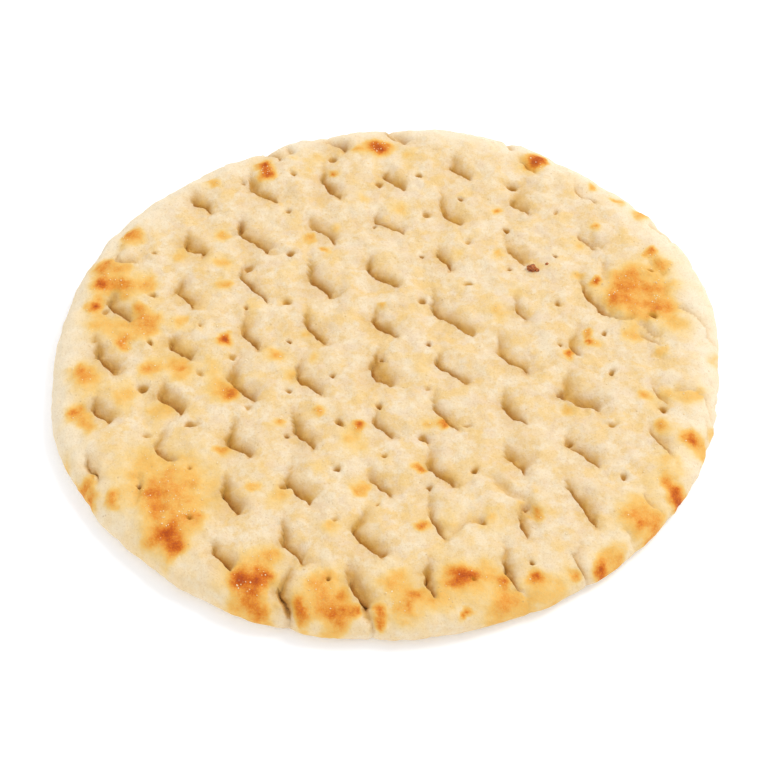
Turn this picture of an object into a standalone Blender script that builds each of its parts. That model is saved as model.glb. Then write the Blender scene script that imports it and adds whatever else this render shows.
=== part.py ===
"""A Greek-style pita: a flat round of baked dough without a pocket, docked all over its top.

One closed body. The crown is a disc of rings of triangles, the rim is a rounded profile carried
round it, and the underside is one flat face. Docking fingers have pressed slanted dimples into
the crown on a skewed grid, and the dough between them has risen into low pillows.

Metres, +Z up. The origin is the middle of the flat underside, on the surface it rests on.
"""
import math
import random

import bmesh
import bpy

MM = 0.001

# Driving dimensions of the round
DIAMETER = 178.6 * MM
THICKNESS = 8.6 * MM  # crown height before the docking sinks it
RIM_WIDTH = 12 * MM  # how far the rim's shoulder reaches in from the edge
RIM_LINE = 2.6 * MM  # height of the widest line of the edge
BASE_CURL = 6.5 * MM  # how far in from the edge the underside touches down
RIM_SQUARENESS = 2.3  # 2 is a plain elliptical shoulder, more is fuller

# The edge is a circle with a few slow waves: waves round the edge, height, place of a crest
EDGE_WAVES = (
    (2, 0.48 * MM, 8),
    (3, 0.4 * MM, 44),
    (5, 0.25 * MM, 14),
    (6, 0.55 * MM, 18),
    (8, 0.3 * MM, 18),
)

# The docking grid: a finger every step along a row, and rows a step apart, both slightly turned
GRID_MIDDLE = (-2.7 * MM, -9.0 * MM)
FINGER_STEP = 18.4 * MM
ROW_STEP = 18.15 * MM
ROW_TURN = math.radians(6.8)
COLUMN_TURN = math.radians(85.1)
GRID_REACH = 5  # rows and columns counted out from the middle
EDGE_REACH = 0.99  # no finger lands farther out than this part of the radius

# One dimple: a finger comes in on the slant, so the near lip is steep and the floor ramps up
LIP_TURN = math.radians(-42)
SIDE_TURN = math.radians(80)
HEEL_TURN = math.radians(54)
LIP_LENGTH = 7.8 * MM
DIMPLE_DEPTH = 3.6 * MM
RAMP = 10 * MM  # from the lip to where the floor is back at the crown
LIP_WALL = 2.0 * MM
SIDE_WALL = 2.6 * MM
HEEL_WALL = 4.0 * MM
PILLOW_SAG = 1.0 * MM  # the dough round a dimple is drawn down with it
PILLOW_REACH = 6.5 * MM
PRINT_REACH = 20 * MM  # beyond this a finger changes nothing
HEEL_START = 0.5  # how far the heel wall is already closed at the end of the lip
DEPTH_SPREAD = 0.16
PLACE_SPREAD = 0.45 * MM

# Fingers that missed, that only brushed the dough, and that landed off the grid: right, back
MISSED = {(4, 1), (4, 2), (-3, -2), (1, 5), (5, -1), (5, 0)}
BRUSHED = {(-4, 3), (3, 3), (3, 2), (4, 0), (4, -1), (4, -2), (4, -3), (3, -4)}
BRUSHED_DEPTH = 0.35
STRAYED = {
    (-2, 3): (-1.5, 0.5),
    (3, 3): (0.5, 2.0),
    (-2, 2): (0.0, 1.5),
    (0, 2): (-1.0, -1.0),
    (1, 2): (-2.5, 1.5),
    (3, 2): (0.5, 3.0),
    (1, 1): (0.3, -2.2),
    (2, 1): (0.0, -2.5),
    (-2, 0): (0.0, 1.5),
    (1, 0): (1.0, -2.0),
    (2, 0): (-1.0, -1.5),
    (3, 0): (-3.0, 0.5),
    (-4, -1): (-0.5, -1.5),
    (2, -1): (0.0, -1.5),
    (0, -2): (2.5, -1.0),
    (3, 1): (1.9, -0.6),
    (4, -1): (2.2, -1.0),
    (4, -2): (1.7, 1.0),
    (1, -3): (-1.0, 1.5),
    (2, -3): (2.5, -2.0),
    (-1, -4): (-1.8, 1.6),
    (0, -4): (-0.8, 1.8),
    (1, -4): (-2.1, 2.0),
}

# Fingers that dragged a longer lip than the rest, or left a shorter one
STRETCHED = {
    (-2, 3): 1.5,
    (-2, 2): 1.3,
    (0, 2): 1.35,
    (1, 2): 0.7,
    (1, 1): 1.7,
    (2, 1): 0.55,
    (1, 0): 1.4,
    (3, 0): 0.5,
    (-4, -1): 0.6,
    (1, -1): 1.35,
    (3, -1): 1.45,
    (0, -2): 0.75,
    (2, -2): 0.7,
    (3, -2): 1.4,
    (0, -3): 1.4,
    (3, -3): 1.5,
    (0, -4): 1.2,
}

# At the front edge the fingers stood more towards the viewer, so their lips run down the rim
FRONT_ROW = -4
FRONT_TURN = math.radians(-24)

# Slow unevenness of the crown
SWELL = 0.35 * MM
SWELL_LENGTH = 46 * MM
SWELL_SKEW = (0.4, 0.3)

# Fineness of the mesh
CROWN_RINGS = 31
SHOULDER_STEPS = 6
CURL_STEPS = 3

RADIUS = DIAMETER / 2
SHARP_EDGE = math.radians(50)
SEED = 12


def clear_scene():
    """Remove whatever the scene holds."""
    for item in list(bpy.data.objects):
        bpy.data.objects.remove(item, do_unlink=True)


def ease(value):
    """Smooth step from 0 to 1 as the value goes from 0 to 1."""
    value = min(max(value, 0.0), 1.0)
    return value * value * (3 - 2 * value)


def edge_radius(angle):
    """Radius of the outline in one direction."""
    waves = (high * math.cos(count * (angle - math.radians(crest))) for count, high, crest in EDGE_WAVES)
    return RADIUS + sum(waves)


def side_of_line(x, y, corner, turn):
    """Distance of a point from a line through a corner, positive on the line's left."""
    return math.cos(turn) * (y - corner[1]) - math.sin(turn) * (x - corner[0])


class Dimple:
    """The print of one docking finger, placed by the middle of its lip."""

    def __init__(self, x, y, lip, turn, depth):
        half = lip / 2
        reach = (half * math.cos(turn), half * math.sin(turn))
        self.place = (x, y)
        self.turn = turn
        self.toe = (x - reach[0], y - reach[1])
        self.heel = (x + reach[0], y + reach[1])
        self.depth = depth

    def sink(self, x, y):
        """How far this finger presses the dough down at a point."""
        away = math.hypot(x - self.place[0], y - self.place[1])
        if away > PRINT_REACH:
            return 0.0
        from_lip = side_of_line(x, y, self.toe, self.turn)
        from_side = -side_of_line(x, y, self.toe, SIDE_TURN)
        from_heel = side_of_line(x, y, self.heel, HEEL_TURN)
        print_depth = ease(from_lip / LIP_WALL) * ease(from_side / SIDE_WALL)
        print_depth *= ease(from_heel / HEEL_WALL + HEEL_START)
        print_depth *= max(0.0, 1 - from_lip / RAMP)
        sag = PILLOW_SAG * math.exp(-((away / PILLOW_REACH) ** 2))
        return self.depth * print_depth + sag * self.depth / DIMPLE_DEPTH


def lay_dimples():
    """Put a dimple at each place of the docking grid where a finger landed."""
    draw = random.Random(SEED)
    across = (FINGER_STEP * math.cos(ROW_TURN), FINGER_STEP * math.sin(ROW_TURN))
    along = (ROW_STEP * math.cos(COLUMN_TURN), ROW_STEP * math.sin(COLUMN_TURN))
    dimples = []
    for row in range(-GRID_REACH, GRID_REACH + 1):
        for column in range(-GRID_REACH, GRID_REACH + 1):
            x = GRID_MIDDLE[0] + column * across[0] + row * along[0]
            y = GRID_MIDDLE[1] + column * across[1] + row * along[1]
            too_far = math.hypot(x, y) > EDGE_REACH * edge_radius(math.atan2(y, x))
            if too_far or (column, row) in MISSED:
                continue
            stray = STRAYED.get((column, row), (0.0, 0.0))
            x += stray[0] * MM + draw.uniform(-PLACE_SPREAD, PLACE_SPREAD)
            y += stray[1] * MM + draw.uniform(-PLACE_SPREAD, PLACE_SPREAD)
            depth = DIMPLE_DEPTH * (1 + draw.uniform(-DEPTH_SPREAD, DEPTH_SPREAD))
            if (column, row) in BRUSHED:
                depth *= BRUSHED_DEPTH
            lip = LIP_LENGTH * STRETCHED.get((column, row), 1.0)
            turn = LIP_TURN + (FRONT_TURN if row == FRONT_ROW else 0.0)
            dimples.append(Dimple(x, y, lip, turn, depth))
    return dimples


def swell(x, y):
    """Slow rise and fall of the crown."""
    turn = 2 * math.pi / SWELL_LENGTH
    skew_x, skew_y = SWELL_SKEW
    return SWELL * math.sin(turn * (x + skew_x * y)) * math.sin(turn * (y - skew_y * x) + 1)


def shoulder_profile(part):
    """Inset and height of the edge profile: 0 is the crown's end, 1 the widest line, 2 the base."""
    quarter = math.pi / 2
    if part <= 1:
        turn = quarter * (1 - part)
        power = 2 / RIM_SQUARENESS
        inset = RIM_WIDTH * (1 - math.cos(turn) ** power)
        height = RIM_LINE + (THICKNESS - RIM_LINE) * math.sin(turn) ** power
        return inset, height
    turn = quarter * (part - 1)
    return BASE_CURL * (1 - math.cos(turn)), RIM_LINE * (1 - math.sin(turn))


def stitch(mesh, inner, outer):
    """Fill the band between two closed rings of points with triangles."""
    inner_count = len(inner)
    outer_count = len(outer)
    a = 0
    b = 0
    while a < inner_count or b < outer_count:
        inner_next = (a + 1) / inner_count
        outer_next = (b + 1) / outer_count
        here = inner[a % inner_count]
        there = outer[b % outer_count]
        if b < outer_count and (a >= inner_count or outer_next <= inner_next):
            mesh.faces.new((here, there, outer[(b + 1) % outer_count]))
            b += 1
        else:
            mesh.faces.new((here, there, inner[(a + 1) % inner_count]))
            a += 1


def crown_rings(mesh, dimples):
    """Rings of points over the crown, six more in each, sunk where the fingers pressed."""
    rings = [[mesh.verts.new((0, 0, THICKNESS))]]
    for index in range(1, CROWN_RINGS + 1):
        count = 6 * index
        ring = []
        for step in range(count):
            angle = 2 * math.pi * step / count
            radius = (edge_radius(angle) - RIM_WIDTH) * index / CROWN_RINGS
            ring.append(mesh.verts.new((radius * math.cos(angle), radius * math.sin(angle), THICKNESS)))
        rings.append(ring)
    for ring in rings:
        for point in ring:
            x, y = point.co.x, point.co.y
            point.co.z += swell(x, y) - sum(dimple.sink(x, y) for dimple in dimples)
    return rings


def rim_ring(mesh, dimples, part):
    """One ring of the rounded edge, pressed in by the dimples that reach the shoulder."""
    inset, height = shoulder_profile(part)
    count = 6 * CROWN_RINGS
    hold = max(0.0, 1 - part)  # the shoulder gives way less and less towards the widest line
    ring = []
    for step in range(count):
        angle = 2 * math.pi * step / count
        radius = edge_radius(angle) - inset
        x = radius * math.cos(angle)
        y = radius * math.sin(angle)
        change = swell(x, y) - sum(dimple.sink(x, y) for dimple in dimples)
        ring.append(mesh.verts.new((x, y, height + hold * change)))
    return ring


def centre_on_box(mesh):
    """Slide the body so that the middle of its box stands on the origin."""
    for axis in (0, 1):
        places = [point.co[axis] for point in mesh.verts]
        middle = (min(places) + max(places)) / 2
        for point in mesh.verts:
            point.co[axis] -= middle


def dough_material():
    """Pale baked dough, matt with a little flour on it."""
    material = bpy.data.materials.new("baked_dough")
    material.use_nodes = True
    shader = material.node_tree.nodes["Principled BSDF"]
    shader.inputs["Base Color"].default_value = (0.89, 0.69, 0.42, 1)
    shader.inputs["Roughness"].default_value = 0.75
    shader.inputs["Metallic"].default_value = 0
    return material


def build_pita():
    """The whole bread as one closed body."""
    mesh = bmesh.new()
    dimples = lay_dimples()
    rings = crown_rings(mesh, dimples)
    centre = rings[0][0]
    first = rings[1]
    for step in range(len(first)):
        mesh.faces.new((centre, first[step], first[(step + 1) % len(first)]))
    shoulder = [step / SHOULDER_STEPS for step in range(1, SHOULDER_STEPS + 1)]
    curl = [1 + step / CURL_STEPS for step in range(1, CURL_STEPS + 1)]
    rings += [rim_ring(mesh, dimples, part) for part in shoulder + curl]
    for inner, outer in zip(rings[1:], rings[2:]):
        stitch(mesh, inner, outer)
    mesh.faces.new(list(reversed(rings[-1])))
    centre_on_box(mesh)
    bmesh.ops.recalc_face_normals(mesh, faces=mesh.faces[:])

    data = bpy.data.meshes.new("pita")
    mesh.to_mesh(data)
    mesh.free()
    data.shade_smooth()
    data.set_sharp_from_angle(angle=SHARP_EDGE)
    data.materials.append(dough_material())
    pita = bpy.data.objects.new("pita", data)
    bpy.context.scene.collection.objects.link(pita)
    return pita


clear_scene()
bread = build_pita()
print("pita:", len(bread.data.vertices), "points, size", tuple(round(side, 4) for side in bread.dimensions))
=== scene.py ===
# %% [markdown]
# # A docked pita, from a flat disc to a toasted round
#
# The bread is one lump of dough: a disc with a rounded rim and a flat underside. Before baking,
# a plate of slanted fingers is pushed into the top so that the dough cannot blow up into a
# pocket. What we see is the prints of those fingers, the low pillows that rise between them,
# and the brown patches where the hot oven touched the highest pillows.
#
# The imported model's box gives the radius. All other sizes are the dough's own, in
# millimetres, seen with the front of the bread towards us: x to the right and y to the back.

# %% Load the frame
import math
import random

import bmesh
import bpy
import numpy as np
from mathutils import Matrix, Vector, noise


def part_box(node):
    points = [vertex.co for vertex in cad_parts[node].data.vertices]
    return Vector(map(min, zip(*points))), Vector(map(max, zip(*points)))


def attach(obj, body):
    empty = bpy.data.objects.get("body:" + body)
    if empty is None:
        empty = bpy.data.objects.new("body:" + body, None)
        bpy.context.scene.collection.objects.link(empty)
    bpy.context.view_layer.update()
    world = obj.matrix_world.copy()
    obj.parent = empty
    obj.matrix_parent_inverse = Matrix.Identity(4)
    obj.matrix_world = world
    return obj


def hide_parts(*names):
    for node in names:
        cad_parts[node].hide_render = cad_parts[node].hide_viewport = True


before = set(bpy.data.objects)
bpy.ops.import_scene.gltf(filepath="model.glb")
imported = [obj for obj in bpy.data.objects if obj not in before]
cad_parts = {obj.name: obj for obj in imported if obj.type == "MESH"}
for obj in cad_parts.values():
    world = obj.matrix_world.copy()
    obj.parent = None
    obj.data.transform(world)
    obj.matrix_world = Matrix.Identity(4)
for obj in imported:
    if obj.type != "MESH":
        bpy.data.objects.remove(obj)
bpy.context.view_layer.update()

MM = 0.001
low, high = (np.array(corner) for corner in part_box("pita"))
RADIUS = float(high[0] - low[0] + high[1] - low[1]) / 4
print("bread radius", round(RADIUS / MM, 1), "mm, height", round(float(high[2] - low[2]) / MM, 1), "mm")

# %% [markdown]
# ## Small tools for shaping
#
# Every shape here is a height that depends on where we are on the disc, so the tools work on
# whole arrays of places at once. `ease` is the soft step that turns a distance into a wall,
# and `rough` is smooth noise with a size in millimetres, which makes dough look hand made. The
# last number given to `rough` only picks another stretch of the same noise.

# %% Soft steps and noise


def ease(value):
    """A soft step from 0 to 1."""
    value = np.clip(value, 0.0, 1.0)
    return value * value * (3 - 2 * value)


def bell(distance, reach):
    """A round bump of height 1 that has faded away at about twice its reach."""
    return np.exp(-((distance / reach) ** 2))


def rough(places, length, layers=1, seed=0.0):
    """Smooth noise of about -1 to 1 whose lumps are about the given length across. Each further
    layer adds lumps of half the size."""
    shift = Vector((seed, 2.3 * seed, -1.7 * seed))
    samples = [Vector(place) / length + shift for place in places]
    return np.array([noise.fractal(sample, 1.0, 2.0, layers) for sample in samples])


# %% [markdown]
# ## The docking plate
#
# The fingers stand on a slightly skewed grid. Each comes in on a slant and leaves a print like
# the gap under a fish scale: a sharp straight lip on the near left, a narrow slit behind it, and
# beyond the slit the next pillow, which climbs out steeply and then rounds over to the crown. A
# softer wall runs up from the left end of the lip, called the toe here, and a short heel closes
# the right end. A few fingers missed, brushed the dough, landed off their place or dragged.

# %% Sizes of the grid and of one print
GRID_MIDDLE = (-2.7 * MM, -9.0 * MM)
FINGER_STEP = 18.4 * MM
ROW_STEP = 18.15 * MM
ROW_TURN = math.radians(6.8)
COLUMN_TURN = math.radians(85.1)
GRID_REACH = 5  # rows and columns, counted out from the middle
EDGE_REACH = 0.99  # no finger lands farther out than this part of the radius

# The walls of a print: turns seen from above, lengths along the dough
LIP_TURN = math.radians(-41)
SIDE_TURN = math.radians(80)
HEEL_TURN = math.radians(54)
LIP_LENGTH = 8.0 * MM
LIP_WALL = 0.5 * MM
CORNER = 2.0 * MM
SIDE_LENGTH = 10.0 * MM
HEEL_WALL = 2.8 * MM
HEEL_START = 0.4  # how far the heel wall has closed where the lip ends

# The floor of a print
PRINT_DEPTH = 4.45 * MM
SLOPE = 7.4 * MM
SLOPE_BEND = 2.2
SLIT_SHARE = 0.54
SLIT_WIDTH = 1.15 * MM
SLIT_MIDDLE = 0.8 * MM
SHOULDER_LUMPS = 0.35

# The dough beside a print: the rounded edge, the rolled lip, its ridge, the fold and the sag
ROUNDING = 2.6 * MM
ROUND_LIP = 0.03
ROUND_SIDE = 0.19
END_FADE = (3, 0.6)  # how sharply and how early the lip's ends fade
ROLL_PLACE = 0.3 * MM
ROLL_WIDTH = 1.1 * MM
RIDGE_PLACE = 1.3 * MM
RIDGE_WIDTH = 1.3 * MM
FOLD_TURN = math.radians(18)
FOLD_LENGTH = 5.5 * MM
FOLD_SHARE = 0.22
FOLD_WIDTH = 1.0 * MM
FOLD_SIDES = (0.8, 1.9)  # the fold is steep on its near side and soft on its far side
PILLOW_SAG = 0.8 * MM
PILLOW_REACH = 6.5 * MM

# How much one finger differs from the next: turns in degrees, the rest as factors
DEPTH_SPREAD = 0.14
PLACE_SPREAD = 0.25 * MM
TURN_SPREAD = 4
SIDE_TURN_SPREAD = 16
HEEL_TURN_SPREAD = 15
FOLD_TURN_SPREAD = 25
SLOPES = (0.65, 1.3)
SIDES = (0.6, 1.4)
HEELS = (0.7, 1.7)
FOLDS = (0.5, 1.4)
FOLD_DEPTHS = (0.3, 1.3)

# %% Fingers that did not land like the rest
# By column and row: how far off in mm to the right and to the back, the stretch of the lip,
# its extra turn in degrees, and how hard the finger pressed.
MISSED = {(4, 1), (4, 2), (-3, -2), (1, 5), (5, -1), (5, 0)}
UNEVEN = {
    (-3, 4): (0.5, 0.0, 0.85, 0, 1.0), (-1, 4): (0.5, -0.5, 1.0, -8, 1.0),
    (0, 4): (-0.5, -0.5, 1.0, 0, 1.0), (1, 4): (0.0, 0.0, 1.0, 8, 0.85),
    (2, 4): (1.5, -0.5, 0.6, 5, 0.5), (3, 1): (1.9, -0.6, 1.3, -20, 0.6),
    (-4, 3): (0.0, 0.0, 0.9, 18, 0.45), (-3, 3): (0.0, 1.0, 0.8, 10, 0.9),
    (-2, 3): (-1.5, 0.5, 1.5, 0, 1.1), (0, 3): (-0.5, 0.0, 1.1, 6, 0.9),
    (1, 3): (-1.0, 0.0, 0.9, 0, 0.85), (2, 3): (0.0, 1.0, 0.9, 0, 0.7),
    (3, 3): (0.5, 2.0, 0.9, 0, 0.35), (-3, 2): (0.0, 1.0, 0.9, 0, 1.0),
    (-2, 2): (0.0, 1.5, 1.3, -10, 0.9), (-1, 2): (0.0, -1.0, 1.0, 0, 1.0),
    (0, 2): (-1.0, -1.0, 1.35, 0, 1.15), (1, 2): (-2.5, 1.5, 0.7, -11, 0.8),
    (2, 2): (-0.5, 0.5, 0.9, 0, 0.65), (3, 2): (0.5, 3.0, 0.9, 0, 0.5),
    (-4, 1): (-0.5, -1.0, 0.9, 0, 1.1), (-2, 1): (0.5, 1.0, 0.9, 0, 0.85),
    (0, 1): (-0.5, -1.0, 1.1, 0, 1.15), (1, 1): (0.3, -2.2, 1.7, 0, 1.0),
    (2, 1): (0.0, -2.5, 0.55, 0, 0.65), (-4, 0): (-0.5, -0.5, 0.85, 0, 1.0),
    (-3, 0): (0.0, 0.0, 1.15, 0, 1.05), (-2, 0): (0.0, 1.5, 1.1, -5, 0.8),
    (-1, 0): (0.0, 0.0, 1.15, -4, 0.85), (1, 0): (1.0, -2.0, 1.4, 7, 0.95),
    (2, 0): (-1.0, -1.5, 1.1, 0, 0.95), (3, 0): (-3.0, 0.5, 0.5, 0, 0.6),
    (4, 0): (0.0, 0.0, 0.9, 0, 0.3), (-4, -1): (-0.5, -1.5, 0.6, 0, 0.8),
    (-3, -1): (-0.5, 1.0, 1.0, 5, 0.8), (-2, -1): (1.0, -0.5, 1.0, 4, 1.0),
    (0, -1): (1.0, 0.0, 0.95, 0, 0.85), (1, -1): (0.0, 0.0, 1.35, 0, 0.65),
    (2, -1): (0.0, -1.5, 1.0, 0, 0.9), (3, -1): (-1.0, -0.5, 1.45, 13, 0.8),
    (4, -1): (2.2, -1.0, 0.8, -8, 0.35), (-2, -2): (0.5, 0.5, 1.0, -4, 1.15),
    (0, -2): (2.5, -1.0, 0.75, -5, 0.75), (2, -2): (1.0, 0.0, 0.7, 0, 0.7),
    (3, -2): (-1.0, 0.5, 1.4, 0, 0.75), (4, -2): (1.7, 1.0, 1.2, -8, 0.45),
    (0, -3): (0.0, -1.0, 1.4, -8, 0.95), (1, -3): (-1.0, 1.5, 1.0, -12, 0.7),
    (2, -3): (2.5, -2.0, 0.7, -25, 0.65), (3, -3): (0.0, 1.0, 1.5, -18, 0.8),
    (4, -3): (0.0, 0.0, 0.8, 0, 0.3), (-1, -4): (-1.8, 1.6, 1.1, -27, 1.4),
    (0, -4): (-0.8, 1.8, 1.2, -19, 1.1), (1, -4): (-2.1, 2.0, 0.9, -30, 0.9),
    (2, -4): (0.5, 1.0, 1.1, -19, 0.8), (3, -4): (0.3, 0.0, 1.0, -20, 0.6),
}
AS_PLANNED = (0.0, 0.0, 1.0, 0, 1.0)

# %% One finger and its print


def fade(share):
    """1 at the start of a wall, 0 once it is passed."""
    return np.clip(1 - share, 0, 1)


class Finger:
    """One docking finger, placed by the middle of its lip, and the print that it leaves."""

    full_depth = PRINT_DEPTH

    def __init__(self, x, y, depth, stretch, turn, draw):
        self.x, self.y, self.depth = x, y, depth
        self.length = LIP_LENGTH * stretch
        self.lip_turn = LIP_TURN + turn
        self.side_turn = SIDE_TURN + math.radians(draw.uniform(-SIDE_TURN_SPREAD, SIDE_TURN_SPREAD))
        self.heel_turn = HEEL_TURN + math.radians(draw.uniform(-HEEL_TURN_SPREAD, HEEL_TURN_SPREAD))
        self.slope = SLOPE * draw.uniform(*SLOPES)
        self.side_length = SIDE_LENGTH * draw.uniform(*SIDES)
        self.heel_wall = HEEL_WALL * draw.uniform(*HEELS)
        self.fold_turn = FOLD_TURN + math.radians(draw.uniform(-FOLD_TURN_SPREAD, FOLD_TURN_SPREAD))
        self.fold_length = FOLD_LENGTH * draw.uniform(*FOLDS)
        self.fold_share = FOLD_SHARE * draw.uniform(*FOLD_DEPTHS)
        self.gold = draw.uniform(0.0, 1.0)
        half = self.length / 2
        step = (half * math.cos(self.lip_turn), half * math.sin(self.lip_turn))
        self.toe = (x - step[0], y - step[1])
        self.heel = (x + step[0], y + step[1])

    def across_line(self, x, y, corner, turn):
        """Distance from a line through a corner, positive on the line's left."""
        return math.cos(turn) * (y - corner[1]) - math.sin(turn) * (x - corner[0])

    def along_line(self, x, y, corner, turn):
        """Distance along a line from a corner."""
        return math.cos(turn) * (x - corner[0]) + math.sin(turn) * (y - corner[1])

    def wall(self, x, y):
        """How far inside the lip and the side wall a place lies, and which of the two it is by:
        0 by the lip, 1 by the side. They meet in a round corner, so a print's edge is a hook."""
        to_lip = CORNER - self.across_line(x, y, self.toe, self.lip_turn)
        to_side = CORNER + self.across_line(x, y, self.toe, self.side_turn)
        rounded = np.hypot(np.maximum(to_lip, 0), np.maximum(to_side, 0))
        inside = CORNER - rounded - np.minimum(np.maximum(to_lip, to_side), 0)
        return inside, ease((to_side - to_lip) / CORNER + 0.5)

    def floor(self, inside, lumps):
        """Depth of the floor: a slit right behind the lip, then a steep climb that rounds over to
        the crown. Also the climb alone."""
        climb = fade(np.maximum(inside, 0) / self.slope) ** SLOPE_BEND
        slit = np.exp(-np.maximum(inside, 0) / SLIT_WIDTH)
        shoulder = climb * (1 + SHOULDER_LUMPS * lumps * (1 - climb))
        return SLIT_SHARE * slit + (1 - SLIT_SHARE) * shoulder, climb

    def fold(self, x, y):
        """The shallow fold that runs on from the heel between the next two pillows."""
        on = self.along_line(x, y, self.heel, self.fold_turn) / self.fold_length
        off = self.across_line(x, y, self.heel, self.fold_turn) / FOLD_WIDTH
        sides = np.where(off > 0, FOLD_SIDES[1], FOLD_SIDES[0])
        return self.fold_share * ease(on * 4 + 1) * fade(np.maximum(on, 0)) * bell(off, sides)

    def print_depth(self, x, y, lumps):
        """How far the dough is pressed down, how far its lip is rolled over the slit, and how
        close each place is to the ridge just outside the lip."""
        inside, on_side = self.wall(x, y)
        floor, climb = self.floor(inside, lumps)
        up_side = self.along_line(x, y, self.toe, self.side_turn)
        up_wall = 1 - on_side * (1 - fade(np.maximum(up_side, 0) / self.side_length))
        from_heel = self.across_line(x, y, self.heel, self.heel_turn)
        closed = ease(from_heel / self.heel_wall + HEEL_START)
        pressed = ease(inside / LIP_WALL) * floor * up_wall * closed

        # The pillow on the near side rounds over the edge, more so at the side wall.
        round_share = (ROUND_LIP + (ROUND_SIDE - ROUND_LIP) * on_side) * up_wall * closed
        rounded_over = round_share * bell(np.minimum(inside, 0), ROUNDING) * climb
        hollow = np.maximum(1 - (1 - pressed) * (1 - rounded_over), self.fold(x, y))
        dip = PILLOW_SAG / PRINT_DEPTH * bell(np.hypot(x - self.x, y - self.y), PILLOW_REACH)

        # The lip is rolled over the slit, and just outside it the dough stands in a low ridge.
        along = self.along_line(x, y, self.toe, self.lip_turn) / self.length
        from_lip = self.across_line(x, y, self.toe, self.lip_turn)
        sharp, early = END_FADE
        beside = ease(along * sharp + early) * ease((1 - along) * sharp + early)
        rolled = beside * bell(from_lip + ROLL_PLACE, ROLL_WIDTH)
        ridge = self.gold * beside * bell(from_lip + RIDGE_PLACE, RIDGE_WIDTH)
        return self.depth * (hollow + dip), self.depth * rolled, ridge

    def nearness(self, x, y):
        """How far a place is from the slit and its two walls, nought inside the slit."""
        from_lip = self.across_line(x, y, self.toe, self.lip_turn)
        along = self.along_line(x, y, self.toe, self.lip_turn)
        sideways = np.maximum(np.abs(from_lip - SLIT_MIDDLE) - SLIT_MIDDLE, 0)
        lengthways = np.maximum(np.abs(along - self.length / 2) - self.length / 2, 0)
        return np.hypot(sideways, lengthways)


def lay_fingers():
    """A finger at each place of the docking grid where one landed."""
    draw = random.Random(12)
    column_step = (FINGER_STEP * math.cos(ROW_TURN), FINGER_STEP * math.sin(ROW_TURN))
    row_step = (ROW_STEP * math.cos(COLUMN_TURN), ROW_STEP * math.sin(COLUMN_TURN))
    fingers = []
    for row in range(-GRID_REACH, GRID_REACH + 1):
        for column in range(-GRID_REACH, GRID_REACH + 1):
            x = GRID_MIDDLE[0] + column * column_step[0] + row * row_step[0]
            y = GRID_MIDDLE[1] + column * column_step[1] + row * row_step[1]
            if math.hypot(x, y) > EDGE_REACH * RADIUS or (column, row) in MISSED:
                continue
            right, back, stretch, turn, press = UNEVEN.get((column, row), AS_PLANNED)
            x += right * MM + draw.uniform(-PLACE_SPREAD, PLACE_SPREAD)
            y += back * MM + draw.uniform(-PLACE_SPREAD, PLACE_SPREAD)
            depth = PRINT_DEPTH * press * (1 + draw.uniform(-DEPTH_SPREAD, DEPTH_SPREAD))
            turn += draw.uniform(-TURN_SPREAD, TURN_SPREAD)
            fingers.append(Finger(x, y, depth, stretch, math.radians(turn), draw))
    return fingers


fingers = lay_fingers()
print(len(fingers), "finger prints")

# %% [markdown]
# ## The pins
#
# A second, finer plate of pins has pricked the dough between the fingers. It has its own pitch,
# so the pinholes drift across the finger prints instead of lining up with them, and a pinhole
# that meets a print is lost in it. A pin came in on a slant too: its hole is a drop, steep on
# the near side and drawn out on the far side.

# %% Pinholes on their own grid
PIN_START = (10.2 * MM, 1.9 * MM)
PIN_ROW = (12.3 * MM, 4.6 * MM)
PIN_COLUMN = (0.27 * MM, 16.2 * MM)
PIN_ROWS = 8
PIN_COLUMNS = 9
PIN_WIDTH = 0.9 * MM
PIN_NEAR = 0.4 * MM
PIN_FAR = 1.15 * MM
PIN_DEPTH = 2.1 * MM
PIN_STEEPNESS = 1.7
PIN_TURN = -35
PIN_TURN_SPREAD = 30
PIN_SIZES = (0.65, 1.3)
PIN_DEPTHS = (0.4, 1.2)
PIN_REACH = 0.90
PIN_SPREAD = 0.7 * MM
PIN_CLEARANCE = 5.0 * MM
PRINT_HEART = 1.5 * MM  # a print's own middle is this far right of and behind its lip's middle
PINS_MISSED = ((-1, 78), (-35, 71), (-26, 79), (71.5, -5), (72, -2))
MISS_REACH = 4 * MM


class Pin:
    """One pinhole, placed by its deepest point."""

    full_depth = PIN_DEPTH

    def __init__(self, x, y, draw):
        self.x, self.y = x, y
        self.size = draw.uniform(*PIN_SIZES)
        self.depth = PIN_DEPTH * draw.uniform(*PIN_DEPTHS)
        self.turn = math.radians(PIN_TURN + draw.uniform(-PIN_TURN_SPREAD, PIN_TURN_SPREAD))

    def print_depth(self, x, y, lumps):
        """How far the dough is pressed down at each place. A pin rolls no lip and makes no ridge."""
        along = math.cos(self.turn) * (x - self.x) + math.sin(self.turn) * (y - self.y)
        beyond = math.cos(self.turn) * (y - self.y) - math.sin(self.turn) * (x - self.x)
        drawn = np.where(beyond > 0, PIN_FAR, PIN_NEAR) * self.size
        away = np.hypot(along / (PIN_WIDTH * self.size), beyond / drawn)
        return self.depth * np.exp(-(away ** PIN_STEEPNESS)), np.zeros_like(x), np.zeros_like(x)

    def nearness(self, x, y):
        """How far a place is from the hole."""
        return np.maximum(np.hypot(x - self.x, y - self.y) - PIN_WIDTH * self.size, 0)


def leaves_hole(x, y):
    """Whether a pin at this place leaves a hole of its own."""
    gaps = [math.hypot(x - finger.x - PRINT_HEART, y - finger.y - PRINT_HEART) for finger in fingers]
    misses = [math.hypot(x - right * MM, y - back * MM) for right, back in PINS_MISSED]
    on_crown = math.hypot(x, y) < PIN_REACH * RADIUS
    return on_crown and min(gaps) > PIN_CLEARANCE and min(misses) >= MISS_REACH


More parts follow.
